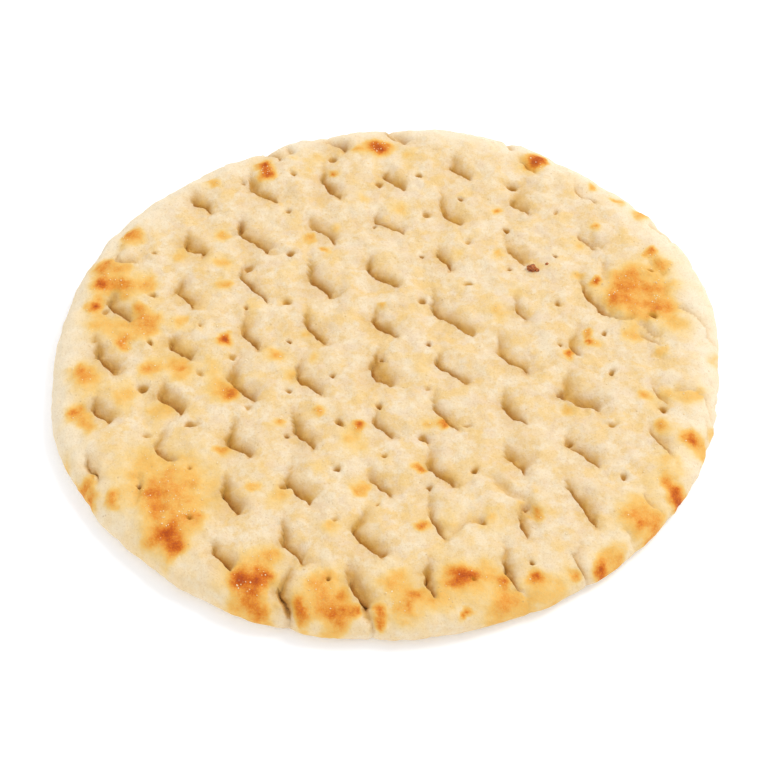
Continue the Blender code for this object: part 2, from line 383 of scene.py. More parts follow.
def lay_pins():
    """Pinholes all over the crown, but for those that meet a finger print."""
    draw = random.Random(5)
    pins = []
    for row in range(-PIN_ROWS, PIN_ROWS + 1):
        for column in range(-PIN_COLUMNS, PIN_COLUMNS + 1):
            x = PIN_START[0] + column * PIN_ROW[0] + row * PIN_COLUMN[0] + draw.gauss(0, PIN_SPREAD)
            y = PIN_START[1] + column * PIN_ROW[1] + row * PIN_COLUMN[1] + draw.gauss(0, PIN_SPREAD)
            pin = Pin(x, y, draw)
            if leaves_hole(x, y):
                pins.append(pin)
    return pins


pins = lay_pins()
print(len(pins), "pinholes")

# %% [markdown]
# ## Creases
#
# Between the prints the dough has folded here and there. A crease is a short groove with soft
# sides, deepest in its middle. Those near the edge run over the shoulder: they part the rim at
# the front and at the back, and pleat it on the right.

# %% Creases: both ends in mm, depth in mm, width in mm
CREASES = (
    (-32, -73, -31, -83, 1.0, 0.8), (-28, -82, -26.5, -88, 1.8, 0.8), (-8, -82, -6.5, -89, 2.4, 0.8),
    (31, -79, 33, -84, 1.2, 0.9), (47, -77, 49, -80, 1.2, 0.9), (-65.5, -38, -65.5, -47, 1.0, 0.7),
    (54, 39, 61, 36, 1.0, 1.1), (61, 31, 60, 23, 1.2, 1.0), (57, 12, 61, 9.5, 1.4, 0.9),
    (61, 9.5, 67, 8, 1.4, 0.9), (72, 29, 77, 24, 1.1, 1.0), (68, 7, 73.5, 2, 1.2, 1.0),
    (70, -4.5, 74, -6, 1.0, 0.9), (58.5, -61, 61.5, -66, 1.4, 0.9), (80, 12, 84.5, 9, 1.5, 0.8),
    (84, 9.4, 87, 3, 1.6, 0.8), (86.3, 4.3, 88, -4, 1.6, 0.8), (87.5, -1.5, 88.4, -9.6, 1.5, 0.8),
    (74, -16, 80.5, -16.5, 1.4, 0.8), (79.5, -16, 84, -20, 1.6, 0.8), (83, -19, 84.8, -28, 1.5, 0.8),
    (84, -12.6, 87, -15.5, 1.3, 0.7), (86.5, -15, 86, -22, 1.4, 0.7), (82, -26, 82.5, -35, 1.3, 0.7),
    (-15, 84, -10, 79, 2.4, 1.0), (5, 87, 8, 82, 2.2, 0.9), (36, 81, 38, 76, 2.4, 1.1),
    (75, 45, 80, 38, 2.0, 1.2), (-28, 82, -26, 77, 2.4, 1.0), (14, -61, 23, -57, 1.2, 1.0),
    (26, -44, 33, -52, 1.2, 1.0), (33, -52, 36, -60, 1.0, 1.0),
)
CREASE_SIDES = (0.6, 1.6)  # steep on the right of its run, soft on the left
CREASE_ENDS = (4, 0.5)  # how sharply and how early its ends fade


def crease_depth(x, y):
    """How deep the creases are at each place."""
    sink = np.zeros_like(x)
    for x0, y0, x1, y1, depth, width in CREASES:
        start = np.array((x0, y0)) * MM
        run = np.array((x1, y1)) * MM - start
        length = np.hypot(*run)
        along = ((x - start[0]) * run[0] + (y - start[1]) * run[1]) / length ** 2
        across = (run[0] * (y - start[1]) - run[1] * (x - start[0])) / length
        steep = np.where(across > 0, CREASE_SIDES[1], CREASE_SIDES[0]) * width * MM
        sharp, early = CREASE_ENDS
        ends = ease(along * sharp + early) * ease((1 - along) * sharp + early)
        sink = np.maximum(sink, depth * MM * ends * bell(across, steep))
    return sink


print(len(CREASES), "creases")

# %% Add up all the prints
BEND = 1.25 * MM
BEND_LENGTH = 8 * MM
NOTCH = 0.42 * MM
NOTCH_LENGTH = 2.5 * MM
SHOULDER_LUMP_LENGTH = 5 * MM
ROLL = 0.10
CREASE_WOBBLE = 1.2
PRINT_REACH = 20 * MM


def docking(x, y):
    """Depth of the prints at each place, how far their lips lean over the slits, how hollow the
    place is as a share of a full print, and how close it is to the ridge of a lip."""
    places = np.stack([x, y, np.zeros_like(x)], 1)
    bend_x = BEND * rough(places, BEND_LENGTH, 2, 11.0) + NOTCH * rough(places, NOTCH_LENGTH, 2, 12.0)
    bend_y = BEND * rough(places, BEND_LENGTH, 2, 23.0) + NOTCH * rough(places, NOTCH_LENGTH, 2, 24.0)
    lumps = rough(places, SHOULDER_LUMP_LENGTH, 2, 29.0)
    sink, lean, hollow, ridge = (np.zeros_like(x) for _ in range(4))
    for tool in fingers + pins:
        near = np.hypot(x - tool.x, y - tool.y) < PRINT_REACH
        depth, rolled, crest = tool.print_depth((x + bend_x)[near], (y + bend_y)[near], lumps[near])
        sink[near] += depth
        hollow[near] = np.maximum(hollow[near], depth / tool.full_depth)
        lean[near] += ROLL * rolled
        ridge[near] = np.maximum(ridge[near], crest)
    folds = crease_depth(x + CREASE_WOBBLE * bend_x, y + CREASE_WOBBLE * bend_y)
    return sink + folds, lean, np.maximum(hollow, folds / PRINT_DEPTH), ridge


# %% [markdown]
# ## The round of dough
#
# The disc is built as rings of points, six more in each ring than in the last, which gives even
# triangles everywhere and no crowded middle. Past the crown the rings follow a rounded rim
# profile down to the widest line and tuck under to the flat base. The edge is a circle with a
# few slow waves, because a round of dough is never a true circle.

# %% Outline and rim profile
RIM_WIDTH = 12 * MM
RIM_LINE = 2.6 * MM
BASE_CURL = 6.5 * MM
RIM_SQUARENESS = 2.3
THICKNESS = 8.6 * MM
# Waves round the edge, their height, and the direction of a crest in degrees
EDGE_WAVES = (
    (2, 0.48 * MM, 8),
    (3, 0.4 * MM, 44),
    (5, 0.25 * MM, 14),
    (6, 0.55 * MM, 18),
    (8, 0.3 * MM, 18),
)


def edge_radius(angle):
    """Radius of the outline in each direction."""
    waves = [high * np.cos(count * (angle - math.radians(crest))) for count, high, crest in EDGE_WAVES]
    return RADIUS + sum(waves)


def rim_profile(part):
    """Inset, height and outward lean of the rim: 0 at the crown, 1 at the widest line, 2 at the base."""
    quarter = math.pi / 2
    if part <= 1:
        turn = quarter * (1 - part)
        power = 2 / RIM_SQUARENESS
        inset = RIM_WIDTH * (1 - math.cos(turn) ** power)
        height = RIM_LINE + (THICKNESS - RIM_LINE) * math.sin(turn) ** power
        return inset, height, math.cos(turn), math.sin(turn)
    turn = quarter * (part - 1)
    return BASE_CURL * (1 - math.cos(turn)), RIM_LINE * (1 - math.sin(turn)), math.cos(turn), -math.sin(turn)


# %% Rings of points
RING_POINTS = 6
CROWN_RINGS = 97
RIM_STEPS = 20
CURL_STEPS = 8
BASE_RINGS = 34
BASE_SHARE = 0.985  # the outermost base ring lies just inside the last ring of the rim
GRIP_LOSS = 0.6  # how much of the docking is lost from the crown to the widest line


def lay_rings():
    """Place, outward direction and grip of every point, ring by ring, from the middle of the top
    to the middle of the base. Grip is how much of the docking a place takes."""
    rings = [(0.0, 0.0, THICKNESS, 0.0, 1.0, 1.0, 1)]
    for index in range(1, CROWN_RINGS + 1):
        rings.append((index / CROWN_RINGS, RIM_WIDTH, THICKNESS, 0.0, 1.0, 1.0, RING_POINTS * index))
    for step in range(1, RIM_STEPS + CURL_STEPS + 1):
        part = step / RIM_STEPS if step <= RIM_STEPS else 1 + (step - RIM_STEPS) / CURL_STEPS
        inset, height, out, up = rim_profile(part)
        grip = max(0.0, 1 - GRIP_LOSS * part)
        rings.append((1.0, inset, height, out, up, grip, RING_POINTS * CROWN_RINGS))
    for index in range(BASE_RINGS, 0, -1):
        share = index / BASE_RINGS * BASE_SHARE
        rings.append((share, BASE_CURL, 0.0, 0.0, -1.0, 0.0, RING_POINTS * index))
    rings.append((0.0, 0.0, 0.0, 0.0, -1.0, 0.0, 1))
    rows = []
    for share, inset, height, out, up, grip, count in rings:
        angle = 2 * math.pi * np.arange(count) / count
        radius = (edge_radius(angle) - inset) * share
        across, along = np.cos(angle), np.sin(angle)
        full = np.ones(count)
        rows.append(np.stack([radius * across, radius * along, height * full,
                              out * across, out * along, up * full, grip * full], 1))
    return rows


rows = lay_rings()
points = np.concatenate(rows)
print(len(rows), "rings,", len(points), "points")

# %% Stitch the rings together


def stitch(inner, outer):
    """Triangles between two closed rings, given as the first point's number and the count."""
    (first, few), (second, many) = inner, outer
    faces = []
    a = b = 0
    while a < few or b < many:
        here = first + a % few
        there = second + b % many
        if b < many and (a >= few or (b + 1) * few <= (a + 1) * many):
            b += 1
            faces.append((here, there, second + b % many))
        else:
            a += 1
            faces.append((here, there, first + a % few))
    return faces


def stitch_all(rows):
    """All the triangles of the round."""
    faces = []
    start = 0
    for inner, outer in zip(rows, rows[1:]):
        ring = (start, len(inner))
        start += len(inner)
        band = stitch(ring, (start, len(outer)))
        faces += [face for face in band if len(set(face)) == 3]
    return faces


faces = np.array(stitch_all(rows))
print(len(faces), "triangles")

# %% [markdown]
# ## Finer triangles where the lips are
#
# A lip turns sharply within half a millimetre, while the pillows between need far less. So the
# triangles near a print are split in four, twice over, and their neighbours are cut to fit, which
# keeps the surface closed.

# %% Split the triangles near the prints
REFINE = (1.15 * MM, 0.3 * MM)
FACING_UP = 0.3


def edge_of_print(x, y):
    """Distance to the nearest slit or pinhole."""
    nearest = np.full_like(x, np.inf)
    for tool in fingers + pins:
        nearest = np.minimum(nearest, tool.nearness(x, y))
    return nearest


def refine(points, faces, wanted):
    """Split the wanted triangles in four, and cut their neighbours to match."""
    pairs = np.sort(faces[:, [[0, 1], [1, 2], [2, 0]]].reshape(-1, 2), 1)
    edges, number = np.unique(pairs, axis=0, return_inverse=True)
    number = number.reshape(-1, 3)
    split = np.zeros(len(edges), bool)
    split[number[wanted]] = True
    middle = np.full(len(edges), -1)
    middle[split] = len(points) + np.arange(split.sum())
    points = np.concatenate([points, points[edges[split]].mean(1)])
    made = []
    for (a, b, c), mids in zip(faces, middle[number]):
        count = int((mids >= 0).sum())
        if count == 0:
            made.append((a, b, c))
            continue
        while count < 3 and not (mids[0] >= 0 and (count == 1 or mids[1] >= 0)):
            a, b, c = b, c, a
            mids = np.roll(mids, -1)
        ab, bc, ca = mids
        if count == 1:
            made += [(a, ab, c), (ab, b, c)]
        elif count == 2:
            made += [(ab, b, bc), (a, ab, bc), (a, bc, c)]
        else:
            made += [(a, ab, ca), (ab, b, bc), (ca, bc, c), (ab, bc, ca)]
    return points, np.array(made)


for reach in REFINE:
    centres = points[faces].mean(1)
    close = (edge_of_print(centres[:, 0], centres[:, 1]) < reach) & (centres[:, 5] > FACING_UP)
    points, faces = refine(points, faces, close)
    print("after splitting:", len(faces), "triangles")

# %% [markdown]
# ## Shaping the surface
#
# The prints are pressed in against each place's own outward direction, so near the rim they cut
# into the shoulder. On top of them come a slow swell, lumps and kneading of a few millimetres,
# shallow wrinkles where two lumps meet, and the fine skin of baked dough. All of it moves real
# points, so the shape is there from any side and not only in the shading.

# %% Press, swell and wrinkle
SWELL = 0.35 * MM
SWELL_LENGTH = 38 * MM
LUMP = 0.55 * MM
LUMP_LENGTH = 11 * MM
KNEAD = 0.68 * MM
KNEAD_LENGTH = 5 * MM
KNEAD_AT_EDGE = 0.3  # on the side of the rim the kneading is this much of its full height
KNEAD_FADE = 1.5
WRINKLE = 0.35 * MM
WRINKLE_LENGTH = 13 * MM
WRINKLE_WIDTH = 0.09
WRINKLE_PATCH = 25 * MM
SKIN = 0.15 * MM
SKIN_LENGTH = 1.9 * MM
SKIN_BELOW = 0.4
TOP_FADE = (3, 1.6)  # the lumps are whole where the dough faces up and die out under the rim


def shape(points):
    """Move the points of the plain round to the baked surface. Also say how hollow each place is,
    how close to a lip, and how far down it was pressed."""
    place, outward, grip = points[:, :3], points[:, 3:6], points[:, 6]
    x, y = place[:, 0], place[:, 1]
    sink, lean, hollow, ridge = docking(x, y)
    swell = SWELL * rough(place, SWELL_LENGTH, 1, 3.0)
    calm = np.clip(KNEAD_FADE * outward[:, 2], KNEAD_AT_EDGE, 1)
    lumps = LUMP * rough(place, LUMP_LENGTH, 2, 5.0) + KNEAD * calm * rough(place, KNEAD_LENGTH, 3, 6.0)
    vein = rough(place, WRINKLE_LENGTH, 2, 7.0)
    where = np.clip(0.5 + rough(place, WRINKLE_PATCH, 1, 9.0), 0, 1)
    wrinkle = WRINKLE * bell(vein, WRINKLE_WIDTH) * where
    skin = SKIN * rough(place, SKIN_LENGTH, 3, 13.0)
    steep, early = TOP_FADE
    top = np.clip(outward[:, 2] * steep + early, 0, 1)
    rise = top * (lumps + swell - wrinkle) + np.clip(top, SKIN_BELOW, 1) * skin - grip * sink
    moved = place + outward * rise[:, None]
    lip_lean = grip * lean
    moved[:, 0] += lip_lean * math.cos(LIP_TURN + math.pi / 2)
    moved[:, 1] += lip_lean * math.sin(LIP_TURN + math.pi / 2)
    moved[:, 2] = np.maximum(moved[:, 2], 0.0)
    return moved, grip * hollow, grip * ridge, grip * sink


moved, hollow, ridge, sink = shape(points)
print("surface from", round(moved[:, 2].min() / MM, 2), "to", round(moved[:, 2].max() / MM, 2), "mm")

# %% [markdown]
# ## Where the heat browned it
#
# Toast is not a pattern: it sits where a pillow stood highest against the heat. So each patch is
# listed one by one, by its place, its reach and how dark it went, and noise bends its outline.
# The sum is stored on the mesh as an attribute that the material reads. Lips, the front of the
# crown and scattered freckles get a little more, and the prints, which the heat did not reach,
# hardly any.

# %% Patches: to the right and to the back in mm, reach in mm, darkness
SCORCHED = (
    (44, 70, 3.6, 1.0), (46, 71, 2.7, 0.8), (0.5, 77.5, 3.3, 0.95), (-2.5, 78.5, 2.5, 0.6),
    (-32.5, 72, 2.5, 0.85), (-31.2, 69, 2.8, 0.95), (-56.7, -57.7, 3.6, 1.0), (-55, -62.1, 2.8, 0.75),
    (-59.8, -50.7, 2.4, 0.7), (-38.6, -72.7, 2.8, 0.9), (-35.5, -73.6, 3, 0.95),
    (-32.3, -71.3, 2.6, 0.85), (-35.7, -78, 3.2, 0.6), (-24.5, -81.1, 2.4, 0.75),
    (-23.5, -83.6, 2.2, 0.6), (-4.1, -84.2, 1.9, 0.75), (-4.1, -86.7, 1.9, 0.7), (16, -75.6, 2.8, 0.95),
    (18.5, -75.1, 2.2, 0.75), (17.3, -85.2, 1.5, 0.75), (34.6, -75.4, 2.6, 0.9),
    (51.5, -71.9, 2.6, 0.85), (72.4, -49, 2.5, 0.85), (72.9, -51.5, 2.4, 0.9), (57.4, 22.2, 1.5, 0.95),
    (-43, 6.4, 2.6, 0.9), (-41.5, -12, 2.9, 0.75), (-8.6, -25.2, 1.6, 0.9), (7.5, -40, 1.7, 0.8),
    (14, -25.5, 1.7, 0.8), (-78.5, 21.2, 2.5, 0.85), (-82, -16, 3.2, 0.7), (55, 0.6, 1.8, 0.8),
    (67, -17.5, 2.1, 0.75), (77.6, -33.2, 3.1, 0.75), (73.3, 32.5, 1.8, 0.75), (-8, -45.5, 2.8, 0.65),
    (7, -59.2, 2.1, 0.7), (36, -56, 2, 0.7), (-12.5, 68.5, 1.8, 0.75), (-16, 38, 1.5, 0.7),
    (32.5, 51, 1.9, 0.6),
)
GOLDEN = (
    (-61, -45, 3.7, 0.5), (-50, -53, 3, 0.45), (-79.5, -39.8, 3, 0.6), (-77.5, -43.8, 2.4, 0.5),
    (-71.4, -45.9, 2.3, 0.5), (-35.5, -43, 1.9, 0.55), (-43.3, -31, 2.7, 0.67),
    (-33.7, -80.6, 2.6, 0.5), (-31, -65, 3.6, 0.4), (-13.1, -78.7, 2, 0.55), (-12.2, -82.6, 2.4, 0.55),
    (-15.8, -84.7, 3.2, 0.5), (4.5, -79.7, 2.3, 0.55), (2, -83, 2.4, 0.45), (26.9, -77.1, 2.3, 0.6),
    (44.4, -74.5, 2, 0.5), (55.1, -68.8, 3.6, 0.42), (62.2, -59.7, 3.8, 0.53), (70.4, -46.9, 3.1, 0.48),
    (48, -3.4, 1.7, 0.69), (53.6, 4, 1.8, 0.64), (63, 16, 3.4, 0.62), (66.5, 23, 4.5, 0.42),
    (74, 12, 4, 0.52), (53.3, 25, 2.2, 0.42), (73.5, -3, 2.2, 0.42), (70.5, -29.5, 3.3, 0.48),
    (76, 28, 4, 0.42), (59, 42.5, 2, 0.53), (60, 59.5, 2.4, 0.53), (66.5, 53, 2.3, 0.53),
    (72, 48, 2.8, 0.48), (-68.5, 47, 3.2, 0.5), (-77, 36, 3.4, 0.62), (-77, 29, 4.6, 0.67),
    (-70, 26.5, 5.4, 0.5), (-66, 19, 2.4, 0.45), (-64, 13, 4.9, 0.56), (-70, 7, 2.7, 0.56),
    (-55, 14, 2.9, 0.45), (-81, -2, 4.1, 0.56), (-63, -2.5, 3.7, 0.45), (-55.5, -2.5, 5.1, 0.47),
    (-79, -20.5, 3.4, 0.5), (-29.5, 0.5, 3.6, 0.42), (-25, -6.8, 3.2, 0.45), (-28, -23, 1.8, 0.5),
    (-19, -20, 1.6, 0.45), (-20, 43.5, 2, 0.5), (-43.5, 35, 3.2, 0.45), (-43.5, 27, 2.6, 0.5),
    (-43.5, 45, 2.3, 0.45), (32, 35, 2, 0.45), (-0.5, 16, 1.3, 0.4), (-47, 66, 3, 0.39),
    (-10.3, -84, 1.9, 0.55), (-6, 77, 1.6, 0.5), (3, 79.5, 2, 0.5),
)
WARMED = (
    (-62, -38, 13.8, 0.28), (-53, -45, 11.2, 0.34), (-56.7, -57.7, 8, 0.35), (-84.6, -31.6, 4, 0.25),
    (-35.3, -71.7, 8, 0.35), (-40.8, -79.5, 3, 0.3), (-28, -46, 4, 0.28), (-18, -75, 5.5, 0.38),
    (-17.3, -81.6, 5.5, 0.4), (-16, -58, 3, 0.3), (0, -76, 4.5, 0.35), (3.1, -83.7, 4.5, 0.35),
    (14, -57, 4.5, 0.22), (16, -76.2, 6, 0.35), (24.5, -83.6, 5, 0.3), (22, -74.1, 4, 0.3),
    (32.6, -81.6, 5, 0.3), (38.8, -78.5, 4, 0.3), (25, -57, 4, 0.3), (33, -53, 3, 0.3),
    (63.3, -56.1, 7.9, 0.32), (67.3, -59.1, 3.4, 0.38), (71.1, -40.6, 4.5, 0.32),
    (80.6, -35.7, 4.5, 0.32), (67, 18, 10.1, 0.40), (74, 20, 5.6, 0.32), (78, 6, 4.5, 0.32),
    (66, 3, 3.6, 0.32), (69, 11, 5.6, 0.32), (47, -22, 2.2, 0.38), (78, -18.5, 3.9, 0.32),
    (73, -18, 2.8, 0.32), (86.5, -6, 2.6, 0.3), (30, 13, 4, 0.28), (36, 19, 2.5, 0.25),
    (21, 35, 1.8, 0.3), (9, 75, 3, 0.3), (-5, 58, 2.8, 0.3), (5, 53, 3, 0.28), (-17, 74, 3, 0.28),
    (-24, 75, 2, 0.25), (-20, 70, 1.8, 0.3), (-56, 38.5, 3.5, 0.37), (-70, 44.5, 4, 0.34),
    (-64, 28, 3.2, 0.4), (-72, 33, 5, 0.34), (-71, 12, 6.2, 0.34), (-78, 15, 5, 0.29),
    (-46, -3, 3.8, 0.29), (-45, -10, 4.4, 0.34), (-70, -10.5, 5.6, 0.34), (-59.5, -16.5, 4.2, 0.37),
    (-80, -7, 5, 0.34), (-35, 18, 3.5, 0.22), (-9, -30, 4, 0.3), (10, -25.5, 2.6, 0.32),
    (-19, -1, 2.6, 0.32), (-24, 33, 2.6, 0.22), (9, -6, 3.6, 0.22), (-21, 7.5, 2.2, 0.28),
    (-19, -39, 2.2, 0.22), (-13, 46, 1.8, 0.32), (53, 37, 2.9, 0.27), (82, -17.5, 2.0, 0.22),
    (84, -29, 1.7, 0.25), (-14, -85, 2.6, 0.3), (-33, -82, 4, 0.3), (10, -82, 4, 0.3),
    (27, -82, 4, 0.3),
)

# %% Brown the crust
TOAST_REACH = 0.90  # all the patches at once, larger or smaller
TOAST_BEND = 1.6 * MM
TOAST_BEND_LENGTH = 5 * MM
PATCHINESS = 0.35
PATCHINESS_LENGTH = 3.5 * MM
LIP_GOLD = 0.03
FRONT_GOLD = 0.18
FRONT_PLACE = 0.84  # as parts of the radius
FRONT_DEPTH = 0.10
FRONT_WIDTH = 0.6
FRONT_LENGTH = 9 * MM
FRECKLE = 0.06
FRECKLE_LENGTH = 6 * MM
SHELTER = 1.6 * MM
SHELTERED = 0.9
BASE_TOAST = 0.5
BASE_SPOT = 16 * MM
BASE_FLECK = 4 * MM
BASE_REACH = 0.95


def browning(place, ridge, sink):
    """How toasted each place is, from 0 for raw looking to 1 for scorched."""
    x = place[:, 0] + TOAST_BEND * rough(place, TOAST_BEND_LENGTH, 4, 31.0)
    y = place[:, 1] + TOAST_BEND * rough(place, TOAST_BEND_LENGTH, 4, 37.0)
    uneven = 1 + PATCHINESS * rough(place, PATCHINESS_LENGTH, 3, 43.0)
    pale = np.ones(len(place))
    for right, back, reach, darkness in SCORCHED + GOLDEN + WARMED:
        away = np.hypot(x - right * MM, y - back * MM)
        pale *= 1 - np.clip(darkness * uneven, 0, 1) * bell(away, TOAST_REACH * reach * MM)
    pale *= 1 - LIP_GOLD * ridge * uneven
    front = bell(y + FRONT_PLACE * RADIUS, FRONT_DEPTH * RADIUS) * bell(x, FRONT_WIDTH * RADIUS)
    pale *= 1 - FRONT_GOLD * front * (0.6 + 0.6 * rough(place, FRONT_LENGTH, 3, 41.0))
    pale *= 1 - FRECKLE * ease(1.5 * rough(place, FRECKLE_LENGTH, 3, 47.0) + 0.2) * uneven
    return (1 - pale) * (1 - SHELTERED * ease(sink / SHELTER - 0.3))


def base_browning(place):
    """Broad soft marks where the underside lay on the hot stone."""
    spots = rough(place, BASE_SPOT, 2, 53.0) + 0.4 * rough(place, BASE_FLECK, 2, 59.0)
    inside = BASE_REACH - np.hypot(place[:, 0], place[:, 1]) / RADIUS
    return BASE_TOAST * ease(1.2 * spots + 0.4) * ease(inside * 8)


top_side = ease(points[:, 5] * 2.5 + 1.0)
underside = ease(-points[:, 5] * 3 - 1.0)
toast = browning(points[:, :3], ridge, sink) * top_side + base_browning(points[:, :3]) * underside
print("share of the surface that is toasted", round(float((toast > 0.3).mean()), 2))

# %% Make the mesh
RIM_START = 0.86  # the pale rim begins at this part of the radius
RIM_SHARPNESS = 9
RIM_AT_FRONT = 0.3  # the front of the rim is toasted, so it is less pale than the back
RIM_TURN = 1.1  # from the front it pales steadily until just before the middle


def make_piece(name, places, triangles, attributes):
    """A smooth mesh piece with one number per point for each named attribute."""
    mesh = bpy.data.meshes.new(name)
    mesh.from_pydata(places.tolist(), [], np.asarray(triangles).tolist())
    for key, values in attributes.items():
        mesh.attributes.new(key, "FLOAT", "POINT").data.foreach_set("value", values)
    mesh.shade_smooth()
    mesh.update()
    piece = bpy.data.objects.new(name, mesh)
    bpy.context.scene.collection.objects.link(piece)
    return piece


outward = np.hypot(points[:, 0], points[:, 1]) / RADIUS
backward = ease(points[:, 1] / RADIUS + RIM_TURN)
rim = ease((outward - RIM_START) * RIM_SHARPNESS) * (RIM_AT_FRONT + (1 - RIM_AT_FRONT) * backward)
bread = make_piece("bread", moved, faces, {"toast": toast, "hollow": hollow, "rim": rim})
print("bread:", tuple(round(side / MM, 1) for side in bread.dimensions), "mm")

# %% [markdown]
# ## Writing a material as arithmetic
#
# A crust needs a few dozen nodes. Wired one by one they are hard to read, so a small class
# wraps a socket and lets plain Python arithmetic add the Math nodes. Each operator also has its
# reflected form, so that `1 - mask` works as well as `mask - 1`. Colours go through Mix nodes,
# since a Math node would turn them grey, and one method adds any other node.

# %% A socket that does sums


class Wire:
    """An output socket that takes part in arithmetic, each sum adding its Math node."""

    def __init__(self, tree, socket):
        self.tree = tree
        self.socket = socket

    def node(self, kind, settings=None, sockets=None, output=0):
        """Add any node: its settings first, then the values or links of its sockets."""
        made = self.tree.nodes.new(kind)
        for name, value in (settings or {}).items():
            if name == "stops":
                set_stops(made.color_ramp, value)
            else:
                setattr(made, name, value)
        for key, value in (sockets or {}).items():
            if isinstance(value, Wire):
                self.tree.links.new(value.socket, made.inputs[key])
            else:
                made.inputs[key].default_value = value
        return Wire(self.tree, made.outputs[output])

    def math(self, operation, *values):
        """One Math node on this wire and others, given in order."""
        return self.node("ShaderNodeMath", {"operation": operation}, dict(enumerate(values)))

    def __add__(self, other):
        return self.math("ADD", self, other)

    def __sub__(self, other):
        return self.math("SUBTRACT", self, other)

    def __rsub__(self, other):
        return self.math("SUBTRACT", other, self)

    def __mul__(self, other):
        return self.math("MULTIPLY", self, other)

    def between(self, start, end):
        """0 below the start, 1 above the end, and a soft step in between."""
        return self.node("ShaderNodeMapRange", {"interpolation_type": "SMOOTHSTEP"},
                         {"Value": self, "From Min": start, "From Max": end})

    def mix(self, below, above):
        """A colour mixed from two, by this wire: the first where it is 0, the second where 1."""
        return self.node("ShaderNodeMix", {"data_type": "RGBA", "blend_type": "MIX"},
                         {0: self, 6: below, 7: above}, output=2)

    def feed(self, socket):
        """Link this wire to a shader's socket."""
        self.tree.links.new(self.socket, socket)

    __radd__ = __add__
    __rmul__ = __mul__


def set_stops(ramp, stops):
    """Give a colour ramp its stops, as (place, colour) pairs."""
    while len(ramp.elements) < len(stops):
        ramp.elements.new(0.5)
    for element, (place, colour) in zip(ramp.elements, stops):
        element.position = place
        element.color = colour


def dye(red, green, blue):
    """A colour as a paint chart gives it, 0 to 255, turned into the light values Blender mixes."""
    shades = (value / 255 for value in (red, green, blue))
    return tuple(s / 12.92 if s <= 0.04045 else ((s + 0.055) / 1.055) ** 2.4 for s in shades) + (1.0,)


def new_material(name, roughness):
    """A material, its shader, and a wire with the object's own coordinates."""
    material = bpy.data.materials.new(name)
    material.use_nodes = True
    tree = material.node_tree
    shader = tree.nodes["Principled BSDF"]
    shader.inputs["Roughness"].default_value = roughness
    coordinates = Wire(tree, tree.nodes.new("ShaderNodeTexCoord").outputs["Object"])
    return material, shader, coordinates


# %% [markdown]
# ## The crust
#
# Baked dough is a pale cream that drifts between yellow and pink over a few millimetres, with a
# fine grain of flour and bran. Over it lies the toast: the stored amount is roughened with grain
# and sent through a ramp from gold to burnt brown. The skin is matt. Shade is painted into the
# colour in two places. The prints darken to a warm brown with their depth, which stands for the
# dark of their slits and for the warmer light that comes out of the dough there. The fine pores
# get a darker tan for their shade. A painted image could be wrapped round the bread, but it would
# blur close up. Noise in the object's own coordinates stays sharp, needs no unwrapping, and runs
# over the rim without a seam.

# %% Colours of the crust
CREAM = dye(240, 221, 188)
BUTTER = dye(233, 200, 143)
ROSE = dye(233, 207, 176)
SUN = dye(238, 198, 118)
PALE_RIM = dye(247, 232, 204)
BRAN = dye(186, 148, 100)
# painted shade: the darker tan for the shade inside the fine pores
PORE_SHADE_COLOUR = dye(205, 163, 108)
FLOUR = dye(242, 226, 192)
# painted shade: the warm dark brown of the shade inside the prints' slits
PAINTED_SHADE_IN_SLITS = dye(204, 150, 44)
TOAST_STOPS = (
    (0.0, dye(241, 213, 155)),
    (0.2, dye(240, 202, 123)),
    (0.4, dye(238, 183, 91)),
    (0.6, dye(229, 147, 48)),
    (0.8, dye(208, 104, 10)),
    (1.0, dye(172, 68, 3)),
)

# %% How much of each tint, and how coarse its pattern is
BUTTER_SHARES = (0.6, 0.4)  # by the broad patches, by the fine mottle
ROSE_SHARE = 0.6
SUN_SHARE = 0.5
RIM_SHARE = 0.75
BRAN_SHARE = 0.5
PORE_SHADE_SHARE = 0.35
FLOUR_SHARE = 0.45
FLOUR_LOSS = 0.38  # toast hides this much of the flour
# how strongly the painted shade is laid into the prints
SLIT_PAINTED_SHADE_SHARE = 0.8
GRAIN_LENGTH = 0.5 * MM
BUMP_LENGTH = 1.5 * MM
MOTTLE_LENGTH = 2.2 * MM
BLUSH_LENGTH = 4 * MM
SUN_LENGTH = 5 * MM
PATCH_LENGTH = 6 * MM
BRAN_STEP = 2.6 * MM
TOAST_GRAIN = 0.6
TOAST_MOTTLE = 0.5
CRUST_ROUGHNESS = 0.62
ROUGHNESS_SPREAD = 0.2
CRUST_SHINE = 0.2
CRUST_BUMP = 0.4 * MM


def cloud(here, length, detail=3, roughness=0.55, offset=0.0):
    """Noise from 0 to 1 whose lumps are about the given length across. The offset picks another
    stretch of it."""
    place = here.node("ShaderNodeVectorMath", {"operation": "ADD"}, {0: here, 1: (offset, offset, offset)})
    return here.node("ShaderNodeTexNoise", {}, {"Vector": place, "Scale": 1 / length,
                                                "Detail": detail, "Roughness": roughness})


def stored(here, name):
    """A number kept on the mesh."""
    return here.node("ShaderNodeAttribute", {"attribute_name": name}, output=2)


# %% The crust's layers


def pale_dough(here, mottle):
    """Cream that drifts to butter, rose and sun yellow, and pales at the rim."""
    patch = cloud(here, PATCH_LENGTH, 4, 0.6, 1.0)
    blush = cloud(here, BLUSH_LENGTH, 4, 0.6, 2.0)
    sun = cloud(here, SUN_LENGTH, 3, 0.5, 6.0)
    broad, fine = BUTTER_SHARES
    dough = (patch.between(0.42, 0.6) * broad + mottle.between(0.44, 0.58) * fine).mix(CREAM, BUTTER)
    dough = (blush.between(0.45, 0.7) * ROSE_SHARE).mix(dough, ROSE)
    dough = (sun.between(0.5, 0.64) * SUN_SHARE).mix(dough, SUN)
    return (stored(here, "rim") * RIM_SHARE).mix(dough, PALE_RIM)


